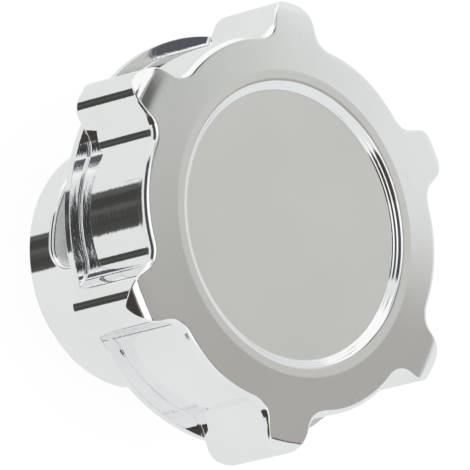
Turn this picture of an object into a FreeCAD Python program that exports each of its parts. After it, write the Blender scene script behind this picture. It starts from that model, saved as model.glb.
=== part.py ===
import FreeCAD, Part
import math
import os

from FreeCAD import Vector

# Twist-lock oil filler cap, turned and milled from bar and chrome plated.
# Millimetres. +Z is the cap's axis with the face up; the origin is the centre of
# the neck's open end, on the surface that the cap stands on.

# Knob
knob_diameter = 70.9                # across two opposite lobes
knob_thickness = 15.6               # back face to the flat ring on the front
lobe_count = 6
first_lobe_angle = 30.0
scallop_depth = 5.45                # lobe tip inward to the circle that the hollows follow
lobe_tip_width = 5.2                # straight across the tip, between its two corners
lobe_root_width = 15.1              # where the two root fillets run out on the floor circle
lobe_corner_radius = 1.8
scallop_root_radius = 4.1
knob_back_bevel = 0.9               # bevel round the lobes at the back face

# Front of the knob, from the lobe tips inward
rim_run = 2.0                       # rounding, tip to the end of the crowned face
rim_drop = 3.5                      # depth of the rounding's end below the flat ring
rim_upper_run = 1.13                # end of the crowned face outward to the upper ridge
rim_upper_drop = 0.49               # and down to it
rim_lower_run = 1.79                # end of the crowned face outward to the lower ridge
rim_lower_drop = 1.2                # and down to it
crown_run = 9.65                    # crowned face, its end to the flat ring
crown_drop = 1.15                   # fall of the crowned face from the ring to the rim
crown_bow = 0.12                    # how far its middle stands proud of a straight cone
ring_width = 1.7                    # flat ring round the pocket's mouth
pocket_depth = 1.15
pocket_wall_run = 1.2               # how far the sloping wall leans out to the mouth
pocket_edge_break = 0.2             # bevel at the mouth of the wall

# Neck: a thin round flange, a web that closes it and a tube with two L-shaped slots
flange_setback = 3.6                # lobe tip inward to the flange's edge
flange_thickness = 1.25
flange_edge_break = 0.25
neck_length = 23.2                  # below the flange
bore_diameter = 32.0
tube_wall = 3.15
web_thickness = 3.6
neck_root_bevel = 1.0
neck_edge_break = 0.4               # bevel on the outside of the slots and the open end
bore_mouth_chamfer = 0.8

# Twist-lock slots
slot_count = 2
slot_width = 7.0
slot_wall_height = 5.3              # open end of the neck to the lower wall of the run
slot_sweep_angle = 80.0             # from the middle of the entry to the middle of the round end
slot_end_angle = 243.0              # direction of the first slot's round end
slot_cutter_reach = 2.0             # how far the cutter passes the wall on each side

# Rubber gasket on the end of the bore
gasket_thickness = 3.2
gasket_land = 3.5                   # bore wall inward to the gasket's hole
gasket_overhang = 0.5               # how far the gasket's rim snaps into the groove, each side
gasket_groove_room = 0.2            # radial play in the groove

# Screws that hold the knob on the neck, put in from inside the bore
screw_count = 3
first_screw_angle = 90.0
screw_diameter = 4.0
screw_length = 12.0                 # under the head
screw_head_diameter = 7.6
screw_head_height = 2.2
screw_head_crown_width = 4.6        # flat top of the domed head
screw_shoulder_height = 0.6         # upright edge at the head's foot
screw_head_gap = 0.9                # heads to the gasket's hole
screw_socket_size = 2.5             # across flats
screw_socket_depth = 1.3
screw_end_chamfer = 0.5
screw_hole_room = 0.4               # play round the screw in the web
thread_room = 0.1                   # play round the screw in the knob
thread_hole_spare = 1.6             # depth of the hole past the screw's end
drill_point_angle = 118.0

# Sealing ring between the knob and the neck
seal_land = 1.5                     # metal between the screw holes and the ring's groove
seal_width = 2.1
seal_height = 1.35                  # as squeezed between its two faces
seal_side_room = 0.15

# Radii and heights that follow from the sizes above
tip_radius = knob_diameter / 2
floor_radius = tip_radius - scallop_depth
crown_radius = tip_radius - rim_run
ring_radius = crown_radius - crown_run
pocket_mouth_radius = ring_radius - ring_width
flange_radius = tip_radius - flange_setback
bore_radius = bore_diameter / 2
neck_radius = bore_radius + tube_wall
gasket_hole_radius = bore_radius - gasket_land
screw_circle_radius = gasket_hole_radius - screw_head_gap - screw_head_diameter / 2
screw_hole_radius = (screw_diameter + screw_hole_room) / 2
seal_groove_inner = screw_circle_radius + screw_hole_radius + seal_land
seal_groove_outer = seal_groove_inner + seal_width + 2 * seal_side_room
flange_back = neck_length
knob_back = flange_back + flange_thickness
knob_front = knob_back + knob_thickness
web_face = knob_back - web_thickness
gasket_face = web_face - gasket_thickness

edge_match = 0.01                   # how closely an edge must lie on the face that it is picked by


def at_angle(radius, degrees, height=0.0):
    """Point on a circle about the axis."""
    turn = math.radians(degrees)
    return Vector(radius * math.cos(turn), radius * math.sin(turn), height)


def arc(centre, radius, start, end):
    """Arc in the XY plane from one angle to the other, given in radians."""
    middle = (start + end) / 2
    points = [
        centre + Vector(radius * math.cos(turn), radius * math.sin(turn), 0)
        for turn in (start, middle, end)
    ]
    return Part.Arc(*points).toShape()


def line(start, end):
    return Part.makeLine(start, end)


def revolved(edges):
    """Solid of revolution about Z of a closed profile that lies in the XZ plane."""
    face = Part.Face(Part.Wire(Part.__sortEdges__(edges)))
    return face.revolve(Vector(0, 0, 0), Vector(0, 0, 1), 360)


def polygon_edges(points):
    closed = points + points[:1]
    return [line(a, b) for a, b in zip(closed, closed[1:])]


def profile(*pairs):
    """Points of a profile from (radius, height) pairs."""
    return [Vector(radius, 0, height) for radius, height in pairs]


def turned_copies(shape, count, first_angle=0.0):
    step = 360.0 / count
    copies = []
    for index in range(count):
        copy = shape.copy()
        copy.rotate(Vector(0, 0, 0), Vector(0, 0, 1), first_angle + index * step)
        copies.append(copy)
    return copies


def lobe_edges(centre_angle):
    """One lobe and the half hollow on each side of it, as tangent arcs and lines."""
    corner_turn = math.asin(lobe_tip_width / 2 / tip_radius)
    root_turn = math.asin(lobe_root_width / 2 / floor_radius)
    pitch = math.pi / lobe_count
    corner = Vector(math.cos(corner_turn), math.sin(corner_turn), 0)
    corner.multiply(tip_radius - lobe_corner_radius)
    root = Vector(math.cos(root_turn), math.sin(root_turn), 0)
    root.multiply(floor_radius + scallop_root_radius)
    # The flank is the line that touches the corner's circle and the root's circle.
    across = root - corner
    heading = math.atan2(across.y, across.x)
    swing = math.acos((lobe_corner_radius + scallop_root_radius) / across.Length)
    touch = heading - swing
    toward = Vector(math.cos(touch), math.sin(touch), 0)
    flank_top = corner + toward * lobe_corner_radius
    flank_foot = root - toward * scallop_root_radius
    half = [
        arc(corner, lobe_corner_radius, corner_turn, touch),
        line(flank_top, flank_foot),
        arc(root, scallop_root_radius, touch + math.pi, root_turn + math.pi),
        arc(Vector(0, 0, 0), floor_radius, root_turn, pitch),
    ]
    mirrored = [edge.mirror(Vector(0, 0, 0), Vector(0, 1, 0)) for edge in half]
    tip = arc(Vector(0, 0, 0), tip_radius, -corner_turn, corner_turn)
    edges = mirrored + [tip] + half
    for edge in edges:
        edge.rotate(Vector(0, 0, 0), Vector(0, 0, 1), centre_angle)
    return edges


def lobed_outline():
    edges = []
    for index in range(lobe_count):
        edges += lobe_edges(first_lobe_angle + index * 360.0 / lobe_count)
    return Part.Wire(Part.__sortEdges__(edges))


def turned_blank():
    """Turned disc as wide as the lobes: rim rounding, crowned face and flat ring."""
    rim_top = knob_front - crown_drop
    # The crowned face is two cones that meet at its middle, where it stands proudest.
    slope = math.atan2(crown_drop, crown_run)
    proud_radius = (crown_radius + ring_radius) / 2 + crown_bow * math.sin(slope)
    proud_height = knob_front - crown_drop / 2 + crown_bow * math.cos(slope)
    # The rounding is three cones that meet at its two ridges.
    points = profile(
        (0, knob_back), (tip_radius, knob_back), (tip_radius, knob_front - rim_drop),
        (crown_radius + rim_lower_run, rim_top - rim_lower_drop),
        (crown_radius + rim_upper_run, rim_top - rim_upper_drop),
        (crown_radius, rim_top), (proud_radius, proud_height), (ring_radius, knob_front),
        (0, knob_front),
    )
    return revolved(polygon_edges(points))


def pocket_cutter():
    """The shallow pocket in the face: flat floor, sloping wall and the bevel at its mouth."""
    floor = knob_front - pocket_depth
    slant = math.hypot(pocket_wall_run, pocket_depth)
    along = pocket_edge_break * pocket_wall_run / slant
    up = pocket_edge_break * pocket_depth / slant
    foot = pocket_mouth_radius - pocket_wall_run
    mouth = pocket_mouth_radius + pocket_edge_break
    points = profile(
        (0, floor), (foot, floor),
        (pocket_mouth_radius - along, knob_front - up), (mouth, knob_front),
        (mouth, knob_front + pocket_depth), (0, knob_front + pocket_depth),
    )
    return revolved(polygon_edges(points))


def thread_hole():
    """Blind tapped hole in the knob's back, at the first screw's place."""
    radius = screw_diameter / 2 + thread_room
    depth = screw_length - web_thickness + thread_hole_spare
    tip = radius / math.tan(math.radians(drill_point_angle / 2))
    points = profile(
        (0, knob_back), (radius, knob_back), (radius, knob_back + depth),
        (0, knob_back + depth + tip),
    )
    hole = revolved(polygon_edges(points))
    hole.translate(Vector(screw_circle_radius, 0, 0))
    return hole


def knob():
    outline = lobed_outline()
    outline.translate(Vector(0, 0, knob_back))
    body = Part.Face(outline).extrude(Vector(0, 0, knob_thickness))
    back_edges = [
        edge for edge in body.Edges
        if all(abs(vertex.Z - knob_back) < edge_match for vertex in edge.Vertexes)
    ]
    body = body.makeChamfer(knob_back_bevel, back_edges)
    body = body.common(turned_blank()).cut(pocket_cutter())
    for hole in turned_copies(thread_hole(), screw_count, first_screw_angle):
        body = body.cut(hole)
    return body


def slot_cutter(end_angle):
    """One L-shaped slot: an entry from the open end, a level run and a full-round end."""
    inner = bore_radius - slot_cutter_reach
    outer = neck_radius + slot_cutter_reach
    depth = outer - inner
    middle = slot_wall_height + slot_width / 2
    entry_angle = end_angle - slot_sweep_angle
    # The run's walls are level, so it is a slice of a ring.
    base = Vector(0, 0, slot_wall_height)
    ring = Part.makeCylinder(outer, slot_width, base, Vector(0, 0, 1), slot_sweep_angle)
    ring = ring.cut(Part.makeCylinder(inner, slot_width, base))
    ring.rotate(Vector(0, 0, 0), Vector(0, 0, 1), entry_angle)
    cutter = ring
    for angle in (entry_angle, end_angle):
        start = at_angle(inner, angle, middle)
        cutter = cutter.fuse(Part.makeCylinder(slot_width / 2, depth, start, at_angle(1, angle)))
    height = middle + slot_cutter_reach
    corner = Vector(inner, -slot_width / 2, -slot_cutter_reach)
    entry = Part.makeBox(depth, slot_width, height, corner)
    entry.rotate(Vector(0, 0, 0), Vector(0, 0, 1), entry_angle)
    return cutter.fuse(entry).removeSplitter()


def neck_turning():
    """Flange, web and tube as one turned piece, with the grooves for gasket and ring."""
    gasket_groove = bore_radius + gasket_overhang + gasket_groove_room
    seal_floor = knob_back - seal_height
    points = profile(
        (bore_radius + bore_mouth_chamfer, 0), (neck_radius, 0),
        (neck_radius, flange_back - neck_root_bevel), (neck_radius + neck_root_bevel, flange_back),
        (flange_radius - flange_edge_break, flange_back), (flange_radius, flange_back + flange_edge_break),
        (flange_radius, knob_back - flange_edge_break), (flange_radius - flange_edge_break, knob_back),
        (seal_groove_outer, knob_back), (seal_groove_outer, seal_floor),
        (seal_groove_inner, seal_floor), (seal_groove_inner, knob_back),
        (0, knob_back), (0, web_face), (gasket_groove, web_face), (gasket_groove, gasket_face),
        (bore_radius, gasket_face), (bore_radius, bore_mouth_chamfer),
    )
    return revolved(polygon_edges(points))


def outer_slot_edges(body):
    """Edges that the slots and the open end leave on the outside of the tube."""
    found = []
    top = slot_wall_height + slot_width + neck_edge_break
    for edge in body.Edges:
        low, high = edge.ParameterRange
        points = [edge.valueAt(low), edge.valueAt((low + high) / 2), edge.valueAt(high)]
        on_wall = all(abs(math.hypot(p.x, p.y) - neck_radius) < edge_match for p in points)
        if on_wall and max(p.z for p in points) < top:
            found.append(edge)
    return found


def neck():
    body = neck_turning()
    centre = Vector(screw_circle_radius, 0, web_face)
    hole = Part.makeCylinder(screw_hole_radius, web_thickness, centre)
    for copy in turned_copies(hole, screw_count, first_screw_angle):
        body = body.cut(copy)
    for index in range(slot_count):
        body = body.cut(slot_cutter(slot_end_angle + index * 360.0 / slot_count))
    return body.makeChamfer(neck_edge_break, outer_slot_edges(body))


def flat_ring(inner, outer, base, height):
    ring = Part.makeCylinder(outer, height, Vector(0, 0, base))
    return ring.cut(Part.makeCylinder(inner, height, Vector(0, 0, base)))


def filler_gasket():
    """Thick rubber ring that snaps into the groove at the end of the bore."""
    outer = bore_radius + gasket_overhang
    return flat_ring(gasket_hole_radius, outer, gasket_face, gasket_thickness)


def seal_ring():
    """Square-cut rubber ring, squeezed flat between the knob and its groove's floor."""
    inner = seal_groove_inner + seal_side_room
    return flat_ring(inner, inner + seal_width, knob_back - seal_height, seal_height)


def hexagon(size, height):
    """Hexagon of a given width across flats, about the axis."""
    corner = size / 2 / math.cos(math.pi / 6)
    points = [at_angle(corner, 60 * index, height) for index in range(6)]
    return Part.Face(Part.Wire(polygon_edges(points)))


def screw():
    """Domed socket-head screw, head down, at the first screw's place."""
    top = web_face - screw_head_height
    end = web_face + screw_length
    radius = screw_diameter / 2
    head = screw_head_diameter / 2
    points = profile(
        (0, top), (screw_head_crown_width / 2, top), (head, web_face - screw_shoulder_height),
        (head, web_face), (radius, web_face), (radius, end - screw_end_chamfer),
        (radius - screw_end_chamfer, end), (0, end),
    )
    socket = hexagon(screw_socket_size, top).extrude(Vector(0, 0, screw_socket_depth))
    body = revolved(polygon_edges(points)).cut(socket)
    body.translate(Vector(screw_circle_radius, 0, 0))
    return body


def screw_set(shape):
    return Part.makeCompound(turned_copies(shape, screw_count, first_screw_angle))


pieces = {
    "knob": knob(),
    "neck": neck(),
    "filler_gasket": filler_gasket(),
    "seal_ring": seal_ring(),
    "knob_screws": screw_set(screw()),
}

os.makedirs("parts", exist_ok=True)
for name, shape in pieces.items():
    shape.exportStep("parts/" + name + ".step")
    print(name, len(shape.Solids), "solids", round(shape.Volume), "mm3", shape.isValid())
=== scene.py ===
import math

import bpy
import numpy as np
from mathutils import Matrix, Vector
from mathutils.geometry import delaunay_2d_cdt


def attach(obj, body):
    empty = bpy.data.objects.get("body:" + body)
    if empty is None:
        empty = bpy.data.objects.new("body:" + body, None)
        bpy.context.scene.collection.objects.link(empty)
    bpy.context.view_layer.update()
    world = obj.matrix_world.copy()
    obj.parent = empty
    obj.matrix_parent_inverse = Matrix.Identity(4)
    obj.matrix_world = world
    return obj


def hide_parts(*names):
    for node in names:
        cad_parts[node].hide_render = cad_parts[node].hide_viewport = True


# Chrome twist-lock oil filler cap. Metres, the frame's axes: +Z up through the face. The
# sizes of the knob and the neck are in millimetres and degrees until their mesh is made.
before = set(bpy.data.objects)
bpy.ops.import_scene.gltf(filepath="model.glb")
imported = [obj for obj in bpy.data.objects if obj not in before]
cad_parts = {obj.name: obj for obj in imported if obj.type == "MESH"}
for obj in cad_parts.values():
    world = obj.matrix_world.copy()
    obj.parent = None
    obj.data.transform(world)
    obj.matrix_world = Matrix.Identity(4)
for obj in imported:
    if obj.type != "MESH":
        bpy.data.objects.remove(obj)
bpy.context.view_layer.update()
mm = 0.001
fineStep = 0.01                     # millimetres between the samples of a rounded profile
print("frame loaded")


# Quads between neighbouring rows: corner a is column c of row r, b is the next column, and
# the other two are one row on. The last column joins the first.
def gridFaces(rows, cols):
    r = np.arange(rows - 1)[:, None]
    c = np.arange(cols)[None, :]
    a, b = r * cols + c, r * cols + (c + 1) % cols
    return np.stack([a, b, b + cols, a + cols], axis=-1).reshape(-1, 4)


# Two triangles for each quad: its corners 0, 1, 2 and 0, 2, 3.
def triangles(quads):
    return np.concatenate([quads[:, [0, 1, 2]], quads[:, [0, 2, 3]]])


# Points that round to the same multiple of the grain become one; a triangle with two
# corners at one point goes.
def weld(points, faces, grain=2e-6):
    key = np.round(points / grain).astype(np.int64)
    _, first, back = np.unique(key, axis=0, return_index=True, return_inverse=True)
    faces = back.reshape(-1)[faces]
    a, b, c = faces.T
    return points[first], faces[(a != b) & (b != c) & (a != c)]


# Smooth mesh from arrays of points and triangles, riding on the body. Triangle i starts at
# loop 3 i.
def makePiece(name, points, faces, nodeName):
    mesh = bpy.data.meshes.new(name)
    mesh.vertices.add(len(points))
    mesh.vertices.foreach_set("co", points.astype(np.float32).ravel())
    mesh.loops.add(faces.size)
    mesh.loops.foreach_set("vertex_index", faces.astype(np.int32).ravel())
    mesh.polygons.add(len(faces))
    mesh.polygons.foreach_set("loop_start", 3 * np.arange(len(faces), dtype=np.int32))
    mesh.polygons.foreach_set("use_smooth", np.ones(len(faces), bool))
    mesh.update(calc_edges=True)
    mesh.validate()
    piece = bpy.data.objects.new(name, mesh)
    bpy.context.scene.collection.objects.link(piece)
    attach(piece, "root")
    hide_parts(nodeName)
    return piece


# A chain of points followed at even steps, its direction averaged over the blend's length.
# The averaging turns each corner into a small arc; radius and height are the running sums of
# the direction's cosine and sine, and what the end drifts by is spread back along the whole
# length. Returns length, radius, height and direction at each step.
def roundedProfile(corners, blend, step=fineStep):
    chain = np.asarray(corners, float)
    length = np.concatenate([[0], np.cumsum(np.hypot(*np.diff(chain, axis=0).T))])
    s = np.arange(0, length[-1] + step / 2, step)
    middle = (s[1:] + s[:-1]) / 2
    leg = np.clip(np.searchsorted(length, middle) - 1, 0, len(chain) - 2)
    turn = np.unwrap(np.arctan2(*np.diff(chain, axis=0)[:, ::-1].T))[leg]
    width = max(1, int(round(blend / step)))
    kernel = np.hanning(width + 2)[1:-1]
    kernel /= kernel.sum()
    padded = np.concatenate([np.full(width, turn[0]), turn, np.full(width, turn[-1])])
    smooth = np.convolve(padded, kernel, "same")[width:-width]
    r = chain[0, 0] + np.concatenate([[0], np.cumsum(np.cos(smooth) * step)])
    z = chain[0, 1] + np.concatenate([[0], np.cumsum(np.sin(smooth) * step)])
    share = s / s[-1]
    r += share * (chain[-1, 0] - r[-1])
    z += share * (chain[-1, 1] - z[-1])
    return s, r, z, np.interp(s, middle, smooth)


knob = {
    "tipRadius": 35.44, "floorRadius": 29.765, "lobes": 6, "firstLobe": 30.0,
    "lobeRadius": 4.07, "rootRadius": 3.82, "floorBow": 22.5, "rootTurn": 9.7,
    "legPoints": (18, 3, 13, 12),   # on the lobe's arc, the flank, the root and the floor
    "back": 24.45, "front": 40.05, "ringRadius": 23.8, "crownRadius": 33.45,
    "crownDrop": 1.15, "crownHook": 0.3, "hookPower": 5,
    "crownPoints": 80, "crownSplit": 20,
    "rimDrop": 3.5, "rimSlope": 22.0, "rimLead": 1.3, "rimFoot": 1.3, "rimPoints": 60,
    "pocketMouth": 22.5, "pocketDepth": 1.2, "pocketBlend": 0.10,
    "wallLengths": (0, 0.05, 0.2, 0.27, 0.45, 0.52, 0.72, 0.8, 1.0, 1.08, 1.3, 1.5, 2.05),
    "wallSlopes": (0, 50, 50, 28, 28, 52, 52, 30, 30, 52, 50, 36, 0),
    "wallPoints": 160, "creaseBlend": 0.14,
    "hollowEdge": 1.15, "lobeEdge": 0.4,
    "edgeChange": (0.4, 2.6),       # past the floor's radius, from the one edge to the other
    "backEdge": 0.5, "backRim": 1.3, "backRimPoints": 30, "backBlend": 0.1,
    "backStart": 10.0, "backInside": 20.0,
    "runOut": 3.0,                  # straight past the rim's foot, for the edge's ball
    "ringInside": 0.5, "ringPast": 0.6,
}

# How the knob's rows of points are spread, from the pocket's middle out.
knobRows = {
    "floor": (0.02, 5, 12, 18), "pocketRoom": 0.2, "pocket": 0.045, "ring": 0.12,
    "crown": 0.55, "creaseNear": 0.2, "crease": 0.04, "creaseFar": 0.3, "rim": 0.17,
    "squeeze": 0.012, "edge": 14, "wall": (0.008, 0.03, 0.35, 0.65, 0.97, 0.992),
    "backEdge": 8, "under": (0.985, 0.96, 0.6, 0.001),
}


# Half a lobe as lobe arc, flank, root arc and floor arc, mirrored and turned. The floor's
# arc is a little tighter than a circle about the axis. The flank is the line that touches
# both arcs. Returns x, y and the direction of the outward normal, once round.
def lobeOutline(k):
    tip, floor, bow = k["tipRadius"], k["floorRadius"], k["floorBow"]
    small, wide = k["lobeRadius"], k["rootRadius"]
    lobeCount, flankCount, rootCount, floorCount = k["legPoints"]
    middleTurn, rootTurn = math.pi / k["lobes"], math.radians(k["rootTurn"])
    corner = np.array([tip - small, 0.0])
    hollow = (floor - bow) * np.array([math.cos(middleTurn), math.sin(middleTurn)])
    root = hollow + (bow + wide) * np.array([math.cos(rootTurn), math.sin(rootTurn)])
    across = root - corner
    touch = math.atan2(across[1], across[0]) - math.acos((small + wide) / np.hypot(*across))
    legs = []

    # Centre plus radius times (cos, sin); on an inward arc the points lie on the far side
    # of the centre from their normal.
    def arc(centre, radius, start, end, count, inward=False):
        turn = np.linspace(start, end, count, endpoint=False)
        side = turn + math.pi if inward else turn
        place = centre[:, None] + radius * np.array([np.cos(side), np.sin(side)])
        legs.append(np.vstack([place, turn]))

    arc(corner, small, 0.0, touch, lobeCount)
    top = corner + small * np.array([math.cos(touch), math.sin(touch)])
    foot = root - wide * np.array([math.cos(touch), math.sin(touch)])
    share = np.linspace(0, 1, flankCount, endpoint=False)
    flank = top[:, None] + (foot - top)[:, None] * share
    legs.append(np.vstack([flank, np.full(flankCount, touch)]))
    arc(root, wide, touch, rootTurn, rootCount, inward=True)
    arc(hollow, bow, rootTurn, middleTurn, floorCount)
    half = np.hstack(legs)
    mirrored = half[:, :0:-1] * np.array([[1], [-1], [-1]])
    middle = np.array([[floor * math.cos(middleTurn)], [-floor * math.sin(middleTurn)], [-middleTurn]])
    lobe = np.hstack([middle, mirrored, half])
    turns = np.radians(k["firstLobe"] + 360.0 / k["lobes"] * np.arange(k["lobes"]))[:, None]
    x = (lobe[0] * np.cos(turns) - lobe[1] * np.sin(turns)).ravel()
    y = (lobe[0] * np.sin(turns) + lobe[1] * np.cos(turns)).ravel()
    return x, y, (lobe[2] + turns).ravel()


# Wall of the pocket from its foot to its mouth, with two fine steps in it. Radius and
# height are the sums of the slope's cosine and sine along it, and the height is brought to
# the pocket's depth.
def pocketWall(k):
    s = np.linspace(0, k["wallLengths"][-1], k["wallPoints"])
    slope = np.radians(np.interp((s[1:] + s[:-1]) / 2, k["wallLengths"], k["wallSlopes"]))
    r = np.concatenate([[0], np.cumsum(np.cos(slope) * s[1])])
    z = np.concatenate([[0], np.cumsum(np.sin(slope) * s[1])])
    height = k["front"] + (z / z[-1] - 1) * k["pocketDepth"]
    return np.column_stack([k["pocketMouth"] + r - r[-1], height])


# Face profile from the axis out: pocket floor, sloping wall and flat ring; a crown whose fall
# is a straight share plus a high power of it, so it steepens near its edge; and a rim that is
# a cubic Bezier curve leaving at the rim's slope and ending upright at the lobe tips.
def faceProfile(k):
    front, depth = k["front"], k["pocketDepth"]
    share = np.linspace(0, 1, k["crownPoints"])
    hook = k["crownHook"]
    fall = k["crownDrop"] * ((1 - hook) * share + hook * share ** k["hookPower"])
    run = k["ringRadius"] + (k["crownRadius"] - k["ringRadius"]) * share
    crown = np.column_stack([run, front - fall])
    slope = math.radians(k["rimSlope"])
    top, foot = crown[-1], np.array([k["tipRadius"], front - k["rimDrop"]])
    lead = top + k["rimLead"] * np.array([math.cos(slope), -math.sin(slope)])
    lift = foot + np.array([0, k["rimFoot"]])
    t = np.linspace(0, 1, k["rimPoints"])[1:, None]
    rim = (1 - t) ** 3 * top + 3 * t * (1 - t) ** 2 * lead + 3 * t ** 2 * (1 - t) * lift + t ** 3 * foot
    split = k["crownSplit"]         # the two halves are rounded by different blends
    innerChain = np.vstack([[[0, front - depth]], pocketWall(k), crown[:split]])
    outerChain = np.vstack([crown[split - 1:], rim, [foot - [0, k["runOut"]]]])
    inner = roundedProfile(innerChain, k["pocketBlend"])
    outer = roundedProfile(outerChain, k["creaseBlend"])
    s = np.concatenate([inner[0], outer[0][1:] + inner[0][-1]])
    r, z, direction = [np.concatenate([a, b[1:]]) for a, b in zip(inner[1:], outer[1:])]
    return s, np.minimum(r, k["tipRadius"]), np.minimum(z, front), direction


# Back profile with its height turned over, so that it also faces up: flat, then a quarter
# circle to the lobe tips and straight on.
def backProfile(k):
    turn = np.linspace(math.pi / 2, 0, k["backRimPoints"])
    centre = k["tipRadius"] - k["backRim"]
    arc = np.column_stack([centre + k["backRim"] * np.cos(turn),
                           -k["back"] - k["backRim"] * (1 - np.sin(turn))])
    end = [k["tipRadius"], -k["back"] - k["backRim"] - k["runOut"]]
    return roundedProfile(np.vstack([[[k["backStart"], -k["back"]]], arc, [end]]), k["backBlend"])


# Edge between a turned face and the lobed wall. A ball of the edge's radius rolls round
# inside both: its centre is the outline moved in by the radius, at the height where it also
# touches the face. Rows run over the ball from the face's normal round to the wall's.
def rolledEdge(profile, outline, radius, inside, steps):
    s, r, z, direction = profile
    x, y, normal = outline
    nx, ny = np.cos(normal), np.sin(normal)
    cx, cy = x - radius * nx, y - radius * ny
    angle = np.arctan2(cy, cx)
    normR, normZ = -np.sin(direction), np.cos(direction)
    keep = r > inside
    reach = r[keep] - radius[:, None] * normR[keep]
    reach = np.maximum.accumulate(reach, axis=1) + 1e-7 * np.arange(keep.sum())  # always rising
    stop = np.array([np.interp(far, row, s[keep]) for far, row in zip(np.hypot(cx, cy), reach)])
    cz = np.interp(stop, s, z) - radius * np.interp(stop, s, normZ)
    faceR = np.interp(stop, s, normR)
    face = np.column_stack([faceR * np.cos(angle), faceR * np.sin(angle), np.interp(stop, s, normZ)])
    wall = np.column_stack([nx, ny, np.zeros(len(x))])
    between = np.arccos(np.clip((face * wall).sum(1), -1, 1))
    between = np.maximum(between, 1e-4)[:, None]        # never nothing, it is divided by
    rows = []
    for share in np.linspace(0, 1, steps):
        blend = np.sin((1 - share) * between) * face + np.sin(share * between) * wall
        rows.append(np.column_stack([cx, cy, cz]) + radius[:, None] * blend / np.sin(between))
    return stop, angle, rows


# Rows of points from the pocket's middle out over the crown, down the wall and under. Inside
# the ring a row is a circle. On the crown a row is (r(s) cos a, r(s) sin a, z(s)), with s held
# short of the place where the rolled edge begins. Under the knob a row is the last one shrunk
# toward the axis, on the flat or on the back rim's quarter circle.
def buildKnob(k, rows):
    outline = lobeOutline(k)
    profile = faceProfile(k)
    s, r, z, _ = profile
    out = np.hypot(outline[0], outline[1])
    change = [k["floorRadius"] + past for past in k["edgeChange"]]
    radius = np.interp(out, change, [k["hollowEdge"], k["lobeEdge"]])
    inside = k["ringRadius"] - k["ringInside"]
    stop, angle, edge = rolledEdge(profile, outline, radius, inside, rows["edge"])
    sRing = s[np.argmax(r >= k["ringRadius"] + k["ringPast"])]
    sCrease = s[np.argmax(r >= k["crownRadius"])]
    foot = pocketWall(k)[0, 0]
    mouth = foot + k["wallLengths"][-1] + rows["pocketRoom"]
    marks = np.concatenate([
        rows["floor"],
        np.arange(foot - rows["pocketRoom"], mouth, rows["pocket"]),
        np.arange(mouth + rows["pocketRoom"], sRing, rows["ring"])])
    near, far = rows["creaseNear"], rows["creaseFar"]
    levels = np.concatenate([
        np.arange(sRing, sCrease - far, rows["crown"]),
        np.arange(sCrease - near, sCrease + near, rows["crease"]),
        np.arange(sCrease + far, s[-1] - k["runOut"], rows["rim"])])
    spare = rows["squeeze"] * np.arange(len(levels), 0, -1)[:, None]
    at = np.vstack([np.repeat(marks[:, None], len(angle), 1),
                    np.minimum(levels[:, None], stop - spare)])
    rr, zz = np.interp(at, s, r), np.interp(at, s, z)
    face = np.stack([rr * np.cos(angle), rr * np.sin(angle), zz], axis=-1)
    backRadius = np.full(len(angle), k["backEdge"])
    _, _, backEdge = rolledEdge(backProfile(k), outline, backRadius, k["backInside"], rows["backEdge"])
    backEdge = [row * np.array([1, 1, -1]) for row in backEdge[::-1]]
    top, low = edge[-1], backEdge[0]
    wall = [top + (low - top) * share for share in rows["wall"]]
    under = []
    for shrink in rows["under"]:
        flat = backEdge[-1] * np.array([shrink, shrink, 1])
        away = np.hypot(flat[:, 0], flat[:, 1])
        rim = np.clip(away - (k["tipRadius"] - k["backRim"]), 0, None)
        flat[:, 2] = k["back"] + k["backRim"] - np.sqrt(k["backRim"] ** 2 - rim ** 2)
        under.append(flat)
    points = np.vstack([face.reshape(-1, 3), *edge, *wall, *backEdge, *under]) * mm
    return points, triangles(gridFaces(len(points) // len(angle), len(angle)))


points, faces = buildKnob(knob, knobRows)
knobPiece = makePiece("knobShell", points, faces[:, ::-1], "knob")
print("knob", len(points), "points")


neck = {
    "flangeRadius": 31.85, "flangeBack": 23.2, "top": 24.45, "flangeEdge": 0.9,
    "radius": 19.15, "bore": 16.0, "rootFillet": 1.0, "rootPoints": 14,
    "webFace": 20.85, "gasketFace": 17.65, "groove": 16.7, "grooveBlend": 0.2,
    "slotWidth": 7.0, "slotWall": 5.3, "slotEnd": 243.0, "slotSweep": 80.0,
    "plan": 0.7,                    # corners of the slot's entry, seen from the side
    "edge": 0.6, "endEdge": 0.1, "edgeRise": 2.0, "innerEdge": 0.15,
    "cornerTurn": 3.5,              # from the entry's side to where the plain border begins
    "zoneTop": 13.8, "seam": 300.0, "hub": 2.0, "innerHub": 0.05,
}

# How the neck's border, sheets and rows of points are spread.
neckRows = {
    "around": 360, "turn": 1.5, "wall": 0.6, "wallStart": 0.5, "wallEnd": 0.3,
    "planArc": 8, "nearArc": 22, "roundEnd": 44,
    "support": 0.05, "outside": 0.9, "bore": 1.1, "seamSide": 1.0, "clear": 0.6,
    "edgeArc": 9, "across": (0.33, 0.66, 1.0), "innerArc": (45, 90),
    "tube": 1.1, "fillet": 0.11, "flange": 1.4, "rim": 0.06, "front": (3, 20, 30),
    # Where one spacing stops and the next starts, before and after the fillet and the rim.
    "beforeFillet": (0.4, 0.3), "afterFillet": (1.4, 2), "beforeRim": (0.5, 0.45), "afterRim": 1.7,
    "inside": (0, 1.9, 3.5), "groove": (3.6, 8.2, 0.12), "web": (10, 15, 20.5),
}


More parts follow.
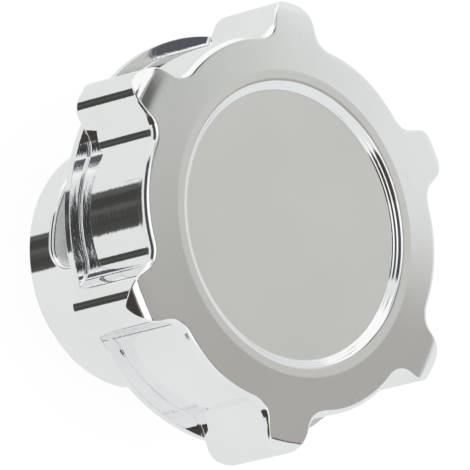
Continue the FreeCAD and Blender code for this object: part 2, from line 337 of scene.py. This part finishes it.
# Lower border of the tube: its open end with both slots, once round. A point is a direction
# about the axis, a sideways distance x from it and a height, so at any radius p its angle is
# direction + asin(x / p). The last two values are the normal out of the metal, within the
# wall's sheet.
def slotOutline(n, rows):
    half = n["slotWidth"] / 2
    plan, wall = n["plan"], n["slotWall"]
    middle = wall + half
    entry = n["slotEnd"] - n["slotSweep"]
    legs = []

    # One leg of the border; single values are repeated along it.
    def add(direction, x, z, nx, nz):
        values = [np.atleast_1d(np.asarray(v, float)) for v in (direction, x, z, nx, nz)]
        legs.append(np.stack(np.broadcast_arrays(*values)))

    # Centre plus radius times (cos, sin); the sign turns the normal out of or into the arc.
    def arc(direction, cx, cz, radius, start, end, count, sign):
        turn = np.radians(np.linspace(start, end, count))
        add(direction, cx + radius * np.cos(turn), cz + radius * np.sin(turn),
            sign * np.cos(turn), sign * np.sin(turn))

    corner = math.degrees(math.asin(half / n["radius"])) + n["cornerTurn"]
    count, step = rows["planArc"], rows["turn"]
    for turn in (0.0, 180.0):
        a, b = entry + turn, n["slotEnd"] + turn
        # Corner between the open end and the entry's near wall, then up the wall.
        arc(a, -half - plan, plan, plan, -90, 0, count, 1)
        add(a, -half, np.arange(plan + rows["wallStart"], middle, rows["wall"]), 1, 0)
        # Round the top, along the run, round its end and back along the lower wall.
        arc(a, 0, middle, half, 180, 95, rows["nearArc"], -1)
        add(np.arange(a, b, step), 0, middle + half, 0, -1)
        arc(b, 0, middle, half, 90, -90, rows["roundEnd"], -1)
        add(np.arange(b, a + corner, -step)[1:], 0, wall, 0, 1)
        # Down the entry's far wall and along the open end.
        arc(a, half + plan, wall - plan, plan, 90, 180, count, 1)
        down = np.arange(wall - plan - rows["wallStart"], plan + rows["wallEnd"], -rows["wall"])
        add(a, half, down, -1, 0)
        arc(a, half + plan, plan, plan, 180, 270, count, 1)
        add(np.arange(a + corner, a + 180 - corner, step), 0, 0, 0, -1)
    return np.hstack(legs)


# The outline at one radius, moved into the metal by a distance along its normal.
def outlineAt(outline, radius, inset):
    direction, x, z, nx, nz = outline
    angle = np.radians(direction) + np.arcsin(x / radius)
    return np.unwrap(angle) - inset * nx / radius, z - inset * nz


# Points on a cylinder: (radius cos angle, radius sin angle, z).
def onCylinder(angle, radius, z):
    return np.column_stack([radius * np.cos(angle), radius * np.sin(angle), z * np.ones_like(angle)])


# Which point of the border lies nearest to the seam: the one whose angle, less the seam's
# and brought between minus and plus half a turn, is smallest.
def seamStart(angle, n):
    away = (angle - math.radians(n["seam"]) + math.pi) % (2 * math.pi) - math.pi
    return int(np.argmin(np.abs(away)))


# Fills one cylinder between the border and a level circle above it. The cylinder is unrolled
# to arc length against height, scattered with evenly spaced points, joined into triangles
# and rolled up again.
def sheet(outline, radius, inset, n, rows, spacing):
    top, around = n["zoneTop"], rows["around"]
    angle, z = outlineAt(outline, radius, inset)
    start = seamStart(angle, n)
    angle, z = np.unwrap(np.roll(angle, -start)), np.roll(z, -start)
    # A row of points just inside the border keeps its smooth shading narrow.
    nearAngle, nearZ = outlineAt(outline, radius, inset + rows["support"])
    near = np.column_stack([np.unwrap(np.roll(nearAngle, -start)) * radius, np.roll(nearZ, -start)])
    border = np.column_stack([angle * radius, z])
    border = np.vstack([border, [border[0, 0] + 2 * math.pi * radius, border[0, 1]]])
    lidAngle = angle[0] + np.linspace(2 * math.pi, 0, around + 1)
    lid = np.column_stack([lidAngle * radius, np.full(around + 1, top)])
    heights = np.arange(border[0, 1], top, rows["seamSide"])[1:-1]
    right = np.column_stack([np.full(len(heights), border[-1, 0]), heights])
    left = np.column_stack([np.full(len(heights), border[0, 0]), heights[::-1]])
    loop = np.vstack([border, right, lid, left])
    gx, gz = np.meshgrid(
        np.arange(border[0, 0] + spacing, border[-1, 0] - spacing / 2, spacing),
        np.arange(border[:, 1].min() + spacing, top - spacing / 2, spacing))
    inner = np.column_stack([gx.ravel(), gz.ravel()])
    apart = inner[:, None] - loop[None]
    gap = np.min(np.hypot(apart[..., 0], apart[..., 1]), axis=1)
    inner = np.vstack([near[2:-2], inner[gap > spacing * rows["clear"]]])
    flat = [Vector(p) for p in np.vstack([loop, inner])]
    result = delaunay_2d_cdt(flat, [], [list(range(len(loop)))], 1, 1e-6)
    flatPoints = np.array([tuple(p) for p in result[0]])
    return onCylinder(flatPoints[:, 0] / radius, radius, flatPoints[:, 1]), np.array(result[2])


# A profile turned round the axis: (r cos a, r sin a, z), held inside the flange's size.
def lathe(chain, blend, n, marks, firstAngle, around):
    s, r, z, _ = roundedProfile(chain, blend)
    r = np.interp(marks, s, np.minimum(r, n["flangeRadius"]))
    z = np.interp(marks, s, np.minimum(z, n["top"]))
    a = firstAngle + np.linspace(0, 2 * math.pi, around, endpoint=False)
    points = np.stack([r[:, None] * np.cos(a), r[:, None] * np.sin(a),
                       np.repeat(z[:, None], around, 1)], axis=-1)
    return points.reshape(-1, 3), triangles(gridFaces(len(marks), around))


# Strip over the border: a quarter circle for the rounded outer edge, straight rows across
# the wall and an eighth and a quarter of a circle for the small inner edge.
def borderStrip(outline, edge, n, rows):
    outer, bore, innerEdge = n["radius"], n["bore"], n["innerEdge"]
    strip = []
    for turn in np.radians(np.linspace(0, 90, rows["edgeArc"])):
        radius = outer - edge * (1 - math.cos(turn))
        angle, z = outlineAt(outline, radius, edge * (1 - math.sin(turn)))
        strip.append(onCylinder(angle, radius, z))
    for share in rows["across"]:
        radius = outer - edge + (bore + innerEdge - outer + edge) * share
        angle, z = outlineAt(outline, radius, 0)
        strip.append(onCylinder(angle, radius, z))
    for turn in np.radians(rows["innerArc"]):
        radius = bore + innerEdge * (1 - math.sin(turn))
        angle, z = outlineAt(outline, radius, innerEdge * (1 - math.cos(turn)))
        strip.append(onCylinder(angle, radius, z))
    return np.vstack(strip), triangles(gridFaces(len(strip), len(outline[0])))


# Outside above the slots: up the tube, round the fillet, out along the flange's back, round
# its rim and in over its front. Rows are close where the profile turns.
def outsideTurning(n, rows, firstAngle):
    outer, back, flange, top = n["radius"], n["flangeBack"], n["flangeRadius"], n["zoneTop"]
    fillet = n["rootFillet"]
    turn = np.linspace(0, math.pi / 2, n["rootPoints"])
    root = np.column_stack([outer + fillet * (1 - np.cos(turn)), back - fillet * (1 - np.sin(turn))])
    rim = [[flange, back], [flange, n["top"]], [n["hub"], n["top"]]]
    straight, corner = back - fillet - top, back - top
    length = straight + fillet * math.pi / 2 + flange - outer - fillet
    tubeStop, filletStart = rows["beforeFillet"]
    filletStop, flangeStart = rows["afterFillet"]
    flangeStop, rimStart = rows["beforeRim"]
    marks = np.concatenate([
        np.arange(0, straight - tubeStop, rows["tube"]),
        np.arange(straight - filletStart, corner + filletStop, rows["fillet"]),
        np.arange(corner + flangeStart, length - flangeStop, rows["flange"]),
        np.arange(length - rimStart, length + rows["afterRim"], rows["rim"]),
        length + np.array(rows["front"])])
    chain = np.vstack([[[outer, top]], root, rim])
    return lathe(chain, n["flangeEdge"], n, marks, firstAngle, rows["around"])


# Inside above the slots: up the bore, into the gasket's groove and in over the web.
def insideTurning(n, rows, firstAngle):
    chain = [[n["bore"], n["zoneTop"]], [n["bore"], n["gasketFace"]], [n["groove"], n["gasketFace"]],
             [n["groove"], n["webFace"]], [n["innerHub"], n["webFace"]]]
    marks = np.concatenate([rows["inside"], np.arange(*rows["groove"]), rows["web"]])
    return lathe(chain, n["grooveBlend"], n, marks, firstAngle, rows["around"])


# The slotted sheet outside and in, the strip between their borders and the turnings above
# them, as one mesh. The edge's radius grows with the outline's height.
def buildNeck(n, rows):
    outline = slotOutline(n, rows)
    edge = np.interp(outline[2], [0, n["edgeRise"]], [n["endEdge"], n["edge"]])
    outerSheet = sheet(outline, n["radius"], edge, n, rows, rows["outside"])
    innerSheet = sheet(outline, n["bore"], n["innerEdge"], n, rows, rows["bore"])
    angle, _ = outlineAt(outline, n["radius"], edge)
    firstAngle = angle[seamStart(angle, n)]
    tube = insideTurning(n, rows, firstAngle)
    parts = [
        outerSheet, (innerSheet[0], innerSheet[1][:, ::-1]), borderStrip(outline, edge, n, rows),
        outsideTurning(n, rows, firstAngle), (tube[0], tube[1][:, ::-1]),
    ]
    base = np.cumsum([0] + [len(points) for points, _ in parts])
    points = np.vstack([points for points, _ in parts])
    faces = np.vstack([faces + first for (_, faces), first in zip(parts, base)])
    return weld(points * mm, faces)


points, faces = buildNeck(neck, neckRows)
neckPiece = makePiece("neckShell", points, faces, "neck")
print("neck", len(points), "points")


# A node group with named inputs and outputs; inputs are (name, kind, value).
def newGroup(name, inputs, outputs):
    group = bpy.data.node_groups.new(name, "ShaderNodeTree")
    for label, kind, value in inputs:
        socket = group.interface.new_socket(label, in_out="INPUT", socket_type=kind)
        socket.default_value = value
    for label in outputs:
        group.interface.new_socket(label, in_out="OUTPUT", socket_type="NodeSocketFloat")
    return group, group.nodes.new("NodeGroupInput"), group.nodes.new("NodeGroupOutput")


# A socket takes a link from another socket, or a plain value.
def feed(tree, value, socket):
    if isinstance(value, bpy.types.NodeSocket):
        tree.links.new(value, socket)
    else:
        socket.default_value = value


# One step of arithmetic on the given values.
def mathNode(tree, operation, *values):
    node = tree.nodes.new("ShaderNodeMath")
    node.operation = operation
    for value, socket in zip(values, node.inputs):
        feed(tree, value, socket)
    return node.outputs[0]


# One less the value, so that a mask takes what it left out.
def inverse(tree, value):
    return mathNode(tree, "SUBTRACT", 1.0, value)


# From 0 at low to 1 at high, with a smooth start and end: 3 t squared less 2 t cubed.
def ramp(tree, value, low, high):
    node = tree.nodes.new("ShaderNodeMapRange")
    node.interpolation_type = "SMOOTHSTEP"
    for given, label in ((value, "Value"), (low, "From Min"), (high, "From Max")):
        feed(tree, given, node.inputs[label])
    return node.outputs["Result"]


# Low times one less the factor, plus high times the factor.
def mixColour(tree, factor, low, high):
    node = tree.nodes.new("ShaderNodeMix")
    node.data_type = "RGBA"
    for value, socket in ((factor, node.inputs[0]), (low, node.inputs[6]), (high, node.inputs[7])):
        feed(tree, value, socket)
    return node.outputs[2]


# Object coordinates whole and in three parts, and the distance from the cap's axis: the
# square root of x squared plus y squared.
def objectParts(tree):
    coords = tree.nodes.new("ShaderNodeTexCoord")
    parts = tree.nodes.new("ShaderNodeSeparateXYZ")
    tree.links.new(coords.outputs["Object"], parts.inputs[0])
    xx, yy = [mathNode(tree, "POWER", parts.outputs[axis], 2.0) for axis in (0, 1)]
    across = mathNode(tree, "SQRT", mathNode(tree, "ADD", xx, yy))
    return coords.outputs["Object"], parts.outputs, across


# Noise over a vector or, in one dimension, along a single value.
def noiseNode(tree, scale, detail, over, dimensions="3D"):
    node = tree.nodes.new("ShaderNodeTexNoise")
    node.noise_dimensions = dimensions
    feed(tree, scale, node.inputs["Scale"])
    node.inputs["Detail"].default_value = detail
    tree.links.new(over, node.inputs["W" if dimensions == "1D" else "Vector"])
    return node.outputs["Fac"]


# Turning lines: noise along the distance from the axis plus the height, so a line is a
# circle on every turned surface.
def turningLines():
    group, given, out = newGroup("turningLines", [
        ("Lines per Metre", "NodeSocketFloat", 2200.0), ("Depth", "NodeSocketFloat", 1.0)],
        ["Height"])
    _, parts, across = objectParts(group)
    line = mathNode(group, "ADD", across, parts[2])
    fac = noiseNode(group, given.outputs["Lines per Metre"], 3.0, line, "1D")
    height = mathNode(group, "MULTIPLY", fac, given.outputs["Depth"])
    group.links.new(height, out.inputs["Height"])
    return group


# Milling waves: noise over the coordinates with the height stretched, so that a wave is long
# round the wall and short along the axis.
def millingWaves():
    group, given, out = newGroup("millingWaves", [
        ("Waves per Metre", "NodeSocketFloat", 260.0), ("Stretch", "NodeSocketFloat", 3.5),
        ("Depth", "NodeSocketFloat", 1.0)], ["Height"])
    coords, _, _ = objectParts(group)
    mapping = group.nodes.new("ShaderNodeMapping")
    group.links.new(coords, mapping.inputs["Vector"])
    size = group.nodes.new("ShaderNodeCombineXYZ")
    size.inputs[0].default_value = size.inputs[1].default_value = 1.0
    group.links.new(given.outputs["Stretch"], size.inputs[2])
    group.links.new(size.outputs[0], mapping.inputs["Scale"])
    fac = noiseNode(group, given.outputs["Waves per Metre"], 4.0, mapping.outputs[0])
    height = mathNode(group, "MULTIPLY", fac, given.outputs["Depth"])
    group.links.new(height, out.inputs["Height"])
    return group


wear = {
    "film": (0.35, 0.7), "turns": (0.35, 1.45), "stretch": 22.0, "lines": 190.0,
    "thin": (0.70, 0.76), "patches": 70.0, "patchEdge": (0.55, 0.66),
}


# Handling marks: a broad film from slow noise, and short hairlines where a strongly
# stretched noise passes a threshold inside sparse patches.
def handlingMarks(w):
    group, given, out = newGroup("handlingMarks", [
        ("Film Scale", "NodeSocketFloat", 55.0), ("Hairline Amount", "NodeSocketFloat", 0.5)],
        ["Film", "Hairlines"])
    coords, _, _ = objectParts(group)
    film = noiseNode(group, given.outputs["Film Scale"], 2.0, coords)
    group.links.new(ramp(group, film, *w["film"]), out.inputs["Film"])
    thin = []
    for turn in w["turns"]:
        mapping = group.nodes.new("ShaderNodeMapping")
        mapping.inputs["Rotation"].default_value = (0, 0, turn)
        mapping.inputs["Scale"].default_value = (1.0, w["stretch"], 1.0)
        group.links.new(coords, mapping.inputs["Vector"])
        thin.append(ramp(group, noiseNode(group, w["lines"], 1.0, mapping.outputs[0]), *w["thin"]))
    lines = mathNode(group, "MAXIMUM", *thin)
    patch = ramp(group, noiseNode(group, w["patches"], 0.0, coords), *w["patchEdge"])
    amount = mathNode(group, "MULTIPLY", mathNode(group, "MULTIPLY", lines, patch),
                      given.outputs["Hairline Amount"])
    group.links.new(amount, out.inputs["Hairlines"])
    return group


groups = {"turning": turningLines(), "milling": millingWaves(), "handling": handlingMarks(wear)}


# A shared group in a material, with that material's own values.
def place(tree, key, values):
    node = tree.nodes.new("ShaderNodeGroup")
    node.node_tree = groups[key]
    for label, value in values.items():
        node.inputs[label].default_value = value
    return node.outputs


# A new material with its tree and its shader.
def newMaterial(name, metallic):
    mat = bpy.data.materials.new(name)
    mat.use_nodes = True
    bsdf = mat.node_tree.nodes["Principled BSDF"]
    bsdf.inputs["Metallic"].default_value = metallic
    return mat, mat.node_tree, bsdf


# A height between 0 and 1 turned into a tilt of the normal, the distance in metres.
def bumpInto(tree, bsdf, height, distance):
    bump = tree.nodes.new("ShaderNodeBump")
    bump.inputs["Distance"].default_value = distance
    tree.links.new(height, bump.inputs["Height"])
    tree.links.new(bump.outputs[0], bsdf.inputs["Normal"])


chrome = {
    "bright": (0.955, 0.955, 0.955, 1), "film": (0.925, 0.928, 0.925, 1),
    "wallRoughness": 0.03, "faceRoughness": 0.10, "hairRoughness": 0.25,
    "faceLines": 2600.0, "faceDepth": 0.13, "tubeLines": 1100.0, "tubeDepth": 0.2,
    "millWaves": 420.0, "millStretch": 2.6, "millDepth": 0.7, "bump": 0.00002,
    "faceHeight": (0.0376, 0.0380),     # metres, where the walls end and the face begins
    "faceRadius": (0.0334, 0.0336),     # metres, where the face ends and the rim begins
    "knobHairs": 0.6, "neckHairs": 0.5, "hairDepth": 0.5,
    "insideRadius": (0.0183, 0.0186),   # metres, from the slots' walls to the tube's outside
    "insideRoughness": 0.30, "insideHaze": 0.8,
    "flangeFace": (0.0243, 0.0244),     # metres, from the flange's rim to its front face
    "grain": 2600.0, "grainDepth": 0.45,
}


# Chrome over a turned face and milled walls. The face is told from the walls by its height
# and its distance from the axis, and takes turning lines; the walls take milling waves.
def knobChrome(c):
    mat, tree, bsdf = newMaterial("polishedChrome", 1.0)
    _, parts, across = objectParts(tree)
    high = ramp(tree, parts[2], *c["faceHeight"])
    near = inverse(tree, ramp(tree, across, *c["faceRadius"]))
    faceMask = mathNode(tree, "MULTIPLY", high, near)
    turning = place(tree, "turning", {"Lines per Metre": c["faceLines"], "Depth": c["faceDepth"]})
    milling = place(tree, "milling", {
        "Waves per Metre": c["millWaves"], "Stretch": c["millStretch"], "Depth": c["millDepth"]})
    handling = place(tree, "handling", {"Hairline Amount": c["knobHairs"]})
    tree.links.new(mixColour(tree, handling["Film"], c["bright"], c["film"]), bsdf.inputs["Base Color"])
    rise = mathNode(tree, "MULTIPLY", faceMask, c["faceRoughness"] - c["wallRoughness"])
    even = mathNode(tree, "ADD", rise, c["wallRoughness"])
    hair = mathNode(tree, "MULTIPLY", handling["Hairlines"], c["hairRoughness"])
    tree.links.new(mathNode(tree, "ADD", even, hair), bsdf.inputs["Roughness"])
    wall = mathNode(tree, "MULTIPLY", milling["Height"], inverse(tree, faceMask))
    scratch = mathNode(tree, "MULTIPLY", handling["Hairlines"], c["hairDepth"])
    face = mathNode(tree, "MULTIPLY", mathNode(tree, "ADD", turning["Height"], scratch), faceMask)
    bumpInto(tree, bsdf, mathNode(tree, "ADD", wall, face), c["bump"])
    return mat


# Chrome over a turned tube and flange, with fine circles. Inside the tube and on the slots'
# walls it is rough, hazy and grainy, and the flange's front face is grainy too.
def neckChrome(c):
    mat, tree, bsdf = newMaterial("turnedChrome", 1.0)
    turning = place(tree, "turning", {"Lines per Metre": c["tubeLines"], "Depth": c["tubeDepth"]})
    handling = place(tree, "handling", {"Hairline Amount": c["neckHairs"]})
    tree.links.new(mixColour(tree, handling["Film"], c["bright"], c["film"]), bsdf.inputs["Base Color"])
    coords, parts, across = objectParts(tree)
    inside = inverse(tree, ramp(tree, across, *c["insideRadius"]))
    hair = mathNode(tree, "MULTIPLY", handling["Hairlines"], c["hairRoughness"])
    plain = mathNode(tree, "ADD", hair, c["wallRoughness"])
    rough = mathNode(tree, "ADD", plain, mathNode(tree, "MULTIPLY", inside, c["insideRoughness"]))
    tree.links.new(rough, bsdf.inputs["Roughness"])
    metal = inverse(tree, mathNode(tree, "MULTIPLY", inside, c["insideHaze"]))
    tree.links.new(metal, bsdf.inputs["Metallic"])
    grainy = mathNode(tree, "MAXIMUM", inside, ramp(tree, parts[2], *c["flangeFace"]))
    grain = mathNode(tree, "MULTIPLY", noiseNode(tree, c["grain"], 3.0, coords),
                     mathNode(tree, "MULTIPLY", grainy, c["grainDepth"]))
    bumpInto(tree, bsdf, mathNode(tree, "ADD", turning["Height"], grain), c["bump"])
    return mat


rubber = {
    "dark": (0.022, 0.022, 0.023, 1), "dusty": (0.045, 0.044, 0.043, 1), "film": 180.0,
    "grain": 2600.0, "roughness": 0.62, "bump": 0.00003,
}


# Matt rubber: two near blacks by a slow film, fine grain in the bump.
def blackRubber(c):
    mat, tree, bsdf = newMaterial("blackRubber", 0.0)
    coords, _, _ = objectParts(tree)
    handling = place(tree, "handling", {"Film Scale": c["film"]})
    tree.links.new(mixColour(tree, handling["Film"], c["dark"], c["dusty"]), bsdf.inputs["Base Color"])
    bsdf.inputs["Roughness"].default_value = c["roughness"]
    bumpInto(tree, bsdf, noiseNode(tree, c["grain"], 2.0, coords), c["bump"])
    return mat


zinc = {
    "bright": (0.62, 0.63, 0.64, 1), "dull": (0.50, 0.51, 0.52, 1), "film": 420.0,
    "lines": 4000.0, "lineDepth": 1.0, "roughness": 0.24, "bump": 0.00001,
}


# Zinc-plated steel: bright and dull greys by a slow film, fine turning lines in the bump.
def zincSteel(c):
    mat, tree, bsdf = newMaterial("zincSteel", 1.0)
    handling = place(tree, "handling", {"Film Scale": c["film"]})
    turning = place(tree, "turning", {"Lines per Metre": c["lines"], "Depth": c["lineDepth"]})
    tree.links.new(mixColour(tree, handling["Film"], c["bright"], c["dull"]), bsdf.inputs["Base Color"])
    bsdf.inputs["Roughness"].default_value = c["roughness"]
    bumpInto(tree, bsdf, turning["Height"], c["bump"])
    return mat


knobPiece.data.materials.append(knobChrome(chrome))
neckPiece.data.materials.append(neckChrome(chrome))
rubberMaterial, zincMaterial = blackRubber(rubber), zincSteel(zinc)
for nodeName, mat in (("filler_gasket", rubberMaterial), ("seal_ring", rubberMaterial),
                      ("knob_screws", zincMaterial)):
    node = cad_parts[nodeName]
    node.data.materials.clear()
    node.data.materials.append(mat)
print("materials placed")


camera = {
    "place": (-46.44, 0.030, 49.04), "unit": 0.0209,    # the fit's own unit, in metres
    "turn": 80.28, "height": 0.04004, "tilt": 0.7515,   # degrees, metres and radians
    "right": (0.7084, -0.2444, 0.6621), "down": (-0.1786, -0.9697, -0.1669),
    "focal": 9283.4 / 470,                              # in picture widths
    "sensor": 36.0, "far": 20.0,
}


# Camera from the fitted tilt, roll and distance, turned into the row's frame about the
# cap's axis. Its columns are right, up and back.
def placeCamera(c):
    ahead = Vector((math.sin(c["tilt"]), 0, -math.cos(c["tilt"])))
    spin = Matrix.Rotation(math.radians(c["turn"]), 3, "Z")
    columns = (spin @ Vector(c["right"]), spin @ -Vector(c["down"]), spin @ -ahead)
    data = bpy.data.cameras.new("photoCamera")
    data.sensor_width = c["sensor"]
    data.lens = c["focal"] * data.sensor_width
    data.clip_end = c["far"]
    cam = bpy.data.objects.new("photoCamera", data)
    bpy.context.scene.collection.objects.link(cam)
    at = spin @ (Vector(c["place"]) * c["unit"]) + Vector((0, 0, c["height"]))
    cam.matrix_world = Matrix.Translation(at) @ Matrix(columns).transposed().to_4x4()
    bpy.context.scene.camera = cam


placeCamera(camera)


# Studio: what the chrome sees. A card is a soft-edged rectangle in the sky, given by the
# direction of its middle (azimuth, elevation), its half sizes, softness and shift as
# tangents, its roll, and how bright it is. A later card covers the earlier ones.
studio = {
    "bounce": (0.80, 0.82, 0.825, 1), "low": (0.79, 0.80, 0.80, 1), "horizon": (-0.9, 0.2),
    "speckle": 9.0, "speckleEdge": (0.42, 0.66), "white": (1, 1, 1, 1),
    "cards": [
        {"name": "overhead", "at": (262, 78), "half": (0.5, 0.34), "soft": 0.03,
         "colour": (1.05, 1.05, 1.05)},
        {"name": "leftWhite", "at": (155, 17), "half": (0.60, 0.80), "soft": 0.08,
         "colour": (1.0, 1.0, 1.0)},
        {"name": "ceilingFrame", "at": (78, 58), "half": (0.71, 0.53), "shift": (-0.05, 0),
         "soft": 0.03, "colour": (0.07, 0.07, 0.07)},
        {"name": "ceiling", "at": (78, 54), "half": (0.70, 0.49), "soft": 0.03,
         "colour": (0.41, 0.40, 0.375)},
        {"name": "faceHaze", "at": (80.3, 46.9), "half": (0.30, 0.40), "shift": (0.335, 0.0),
         "soft": (0.15, 0.05), "colour": (0.52, 0.53, 0.51)},
        {"name": "faceCard", "at": (80.3, 46.9), "half": (0.36, 0.34), "shift": (0.36, -0.34),
         "roll": -18, "soft": (0.06, 0.17), "colour": (0.755, 0.77, 0.765)},
        {"name": "faceSpot", "at": (80.3, 46.9), "half": (0.045, 0.045), "soft": 0.05,
         "colour": (0.567, 0.573, 0.54)},
        {"name": "standGap", "at": (113, 60), "half": (0.10, 0.08), "soft": 0.05,
         "colour": (0.11, 0.11, 0.11)},
        {"name": "darkSide", "at": (228, -42), "half": (0.205, 0.20), "soft": 0.012,
         "colour": (0.055, 0.055, 0.053), "mottle": (0.10, 0.10, 0.098)},
        {"name": "cameraSide", "at": (236, 29.5), "half": (0.60, 0.39), "soft": 0.03,
         "colour": (0.045, 0.045, 0.047), "mottle": (0.09, 0.098, 0.11)},
        {"name": "cameraLow", "at": (279.5, 10), "half": (0.315, 1.34), "shift": (0, 0.14),
         "soft": 0.03, "colour": (0.045, 0.040, 0.037), "mottle": (0.07, 0.06, 0.055)},
        {"name": "cameraLine", "at": (279.5, 10), "half": (0.315, 0.05), "shift": (0, 1.235),
         "soft": 0.02, "colour": (0.55, 0.55, 0.55)},
        {"name": "darkBack", "at": (175.5, 47), "half": (0.14, 0.075), "soft": 0.02,
         "colour": (0.09, 0.10, 0.115), "mottle": (0.48, 0.50, 0.53)},
        {"name": "standSide", "at": (129, 47.5), "half": (0.15, 0.08), "soft": 0.03,
         "colour": (0.06, 0.065, 0.075), "mottle": (0.20, 0.215, 0.24)},
    ],
}


# Card mask: the direction's tangents across and up the card, less the shift, each faded at
# its half size, and nothing behind the card's middle.
def cardMask():
    group, given, out = newGroup("cardMask", [
        ("Direction", "NodeSocketVector", (0, 0, 0)), ("Toward", "NodeSocketVector", (0, 0, 0)),
        ("Across", "NodeSocketVector", (0, 0, 0)), ("Up", "NodeSocketVector", (0, 0, 0)),
        ("Half Width", "NodeSocketFloat", 0.2), ("Half Height", "NodeSocketFloat", 0.2),
        ("Shift Across", "NodeSocketFloat", 0.0), ("Shift Up", "NodeSocketFloat", 0.0),
        ("Softness Across", "NodeSocketFloat", 0.02), ("Softness Up", "NodeSocketFloat", 0.02)],
        ["Mask"])
    nearest = 0.02                  # cosine below which a direction misses every card
    dots = {}
    for label in ("Toward", "Across", "Up"):
        dot = group.nodes.new("ShaderNodeVectorMath")
        dot.operation = "DOT_PRODUCT"
        group.links.new(given.outputs["Direction"], dot.inputs[0])
        group.links.new(given.outputs[label], dot.inputs[1])
        dots[label] = dot.outputs["Value"]
    ahead = mathNode(group, "MAXIMUM", dots["Toward"], nearest)
    total = mathNode(group, "GREATER_THAN", dots["Toward"], nearest)
    for label, half in (("Across", "Half Width"), ("Up", "Half Height")):
        tangent = mathNode(group, "DIVIDE", dots[label], ahead)
        moved = mathNode(group, "SUBTRACT", tangent, given.outputs["Shift " + label])
        past = mathNode(group, "SUBTRACT", mathNode(group, "ABSOLUTE", moved), given.outputs[half])
        faded = mathNode(group, "DIVIDE", past, given.outputs["Softness " + label])
        total = mathNode(group, "MULTIPLY", total, inverse(group, ramp(group, faded, -1.0, 1.0)))
    group.links.new(total, out.inputs["Mask"])
    return group


# A card's mask over the sky. Toward is (cos e cos a, cos e sin a, sin e), across is level,
# up is toward times across, and both are rolled about toward.
def cardOver(tree, mask, direction, card):
    azimuth, elevation = np.radians(card["at"])
    toward = Vector((math.cos(elevation) * math.cos(azimuth),
                     math.cos(elevation) * math.sin(azimuth), math.sin(elevation)))
    across = Vector((-math.sin(azimuth), math.cos(azimuth), 0))
    roll = Matrix.Rotation(math.radians(card.get("roll", 0)), 3, toward)
    width, height = card["half"]
    shiftAcross, shiftUp = card.get("shift", (0, 0))
    softAcross, softUp = np.broadcast_to(card["soft"], 2)
    node = tree.nodes.new("ShaderNodeGroup")
    node.node_tree = mask
    node.label = card["name"]
    tree.links.new(direction, node.inputs["Direction"])
    for label, value in (
            ("Toward", toward), ("Across", roll @ across), ("Up", roll @ toward.cross(across)),
            ("Half Width", width), ("Half Height", height),
            ("Shift Across", shiftAcross), ("Shift Up", shiftUp),
            ("Softness Across", softAcross), ("Softness Up", softUp)):
        node.inputs[label].default_value = value
    return node.outputs["Mask"]


# The world: a pale sky that is a little darker below, with each card laid over it by its
# mask. Metal sees it; the camera and all other rays see plain white.
def buildStudio(c):
    scene = bpy.context.scene
    scene.view_settings.view_transform = "Standard"
    world = bpy.data.worlds.new("studio")
    scene.world = world
    world.use_nodes = True
    tree = world.node_tree
    direction = tree.nodes.new("ShaderNodeTexCoord").outputs["Generated"]
    parts = tree.nodes.new("ShaderNodeSeparateXYZ")
    tree.links.new(direction, parts.inputs[0])
    sky = mixColour(tree, ramp(tree, parts.outputs[2], *c["horizon"]), c["low"], c["bounce"])
    speckle = ramp(tree, noiseNode(tree, c["speckle"], 3.0, direction), *c["speckleEdge"])
    mask = cardMask()
    for card in c["cards"]:
        colour = (*card["colour"], 1)
        if "mottle" in card:
            colour = mixColour(tree, speckle, colour, (*card["mottle"], 1))
        sky = mixColour(tree, cardOver(tree, mask, direction, card), sky, colour)
    path = tree.nodes.new("ShaderNodeLightPath")
    metal = mathNode(tree, "MAXIMUM", path.outputs["Is Glossy Ray"], path.outputs["Is Transmission Ray"])
    colour = mixColour(tree, metal, c["white"], sky)
    tree.links.new(colour, tree.nodes["Background"].inputs["Color"])


ground = {
    "half": 3.0, "drop": 0.00002, "pale": (0.93, 0.93, 0.93, 1), "paler": (0.95, 0.95, 0.95, 1),
    "clouds": 4.0, "roughness": 0.9, "glow": 1.05, "whiteShare": 0.85,
}


# Mixes two shaders by a factor and returns the result.
def mixShader(tree, factor, low, high):
    node = tree.nodes.new("ShaderNodeMixShader")
    for output, socket in zip((factor, low, high), node.inputs):
        tree.links.new(output, socket)
    return node.outputs[0]


# Pale floor under the cap, a square just below its open end. To the camera most of it is the
# white background and the rest takes the cap's shadow; from below it is clear, and the chrome
# doesn't see it.
def buildFloor(c):
    mesh = bpy.data.meshes.new("floor")
    corners = [(x * c["half"], y * c["half"], -c["drop"]) for x, y in ((-1, -1), (1, -1), (1, 1), (-1, 1))]
    mesh.from_pydata(corners, [], [(0, 1, 2, 3)])
    plane = bpy.data.objects.new("floor", mesh)
    bpy.context.scene.collection.objects.link(plane)
    plane.visible_glossy = False
    plane.visible_transmission = False
    mat, tree, bsdf = newMaterial("paleFloor", 0.0)
    bsdf.inputs["Roughness"].default_value = c["roughness"]
    bsdf.inputs["Specular IOR Level"].default_value = 0.0
    coords = tree.nodes.new("ShaderNodeTexCoord")
    cloud = noiseNode(tree, c["clouds"], 1.0, coords.outputs["Object"])
    tree.links.new(mixColour(tree, cloud, c["pale"], c["paler"]), bsdf.inputs["Base Color"])
    glow = tree.nodes.new("ShaderNodeEmission")
    glow.inputs["Strength"].default_value = c["glow"]
    path = tree.nodes.new("ShaderNodeLightPath")
    side = tree.nodes.new("ShaderNodeNewGeometry")
    clear = tree.nodes.new("ShaderNodeBsdfTransparent")
    share = mathNode(tree, "MULTIPLY", path.outputs["Is Camera Ray"], c["whiteShare"])
    above = mixShader(tree, share, bsdf.outputs[0], glow.outputs[0])
    whole = mixShader(tree, side.outputs["Backfacing"], above, clear.outputs[0])
    tree.links.new(whole, tree.nodes["Material Output"].inputs["Surface"])
    mesh.materials.append(mat)


buildStudio(studio)
buildFloor(ground)
print("studio ready")
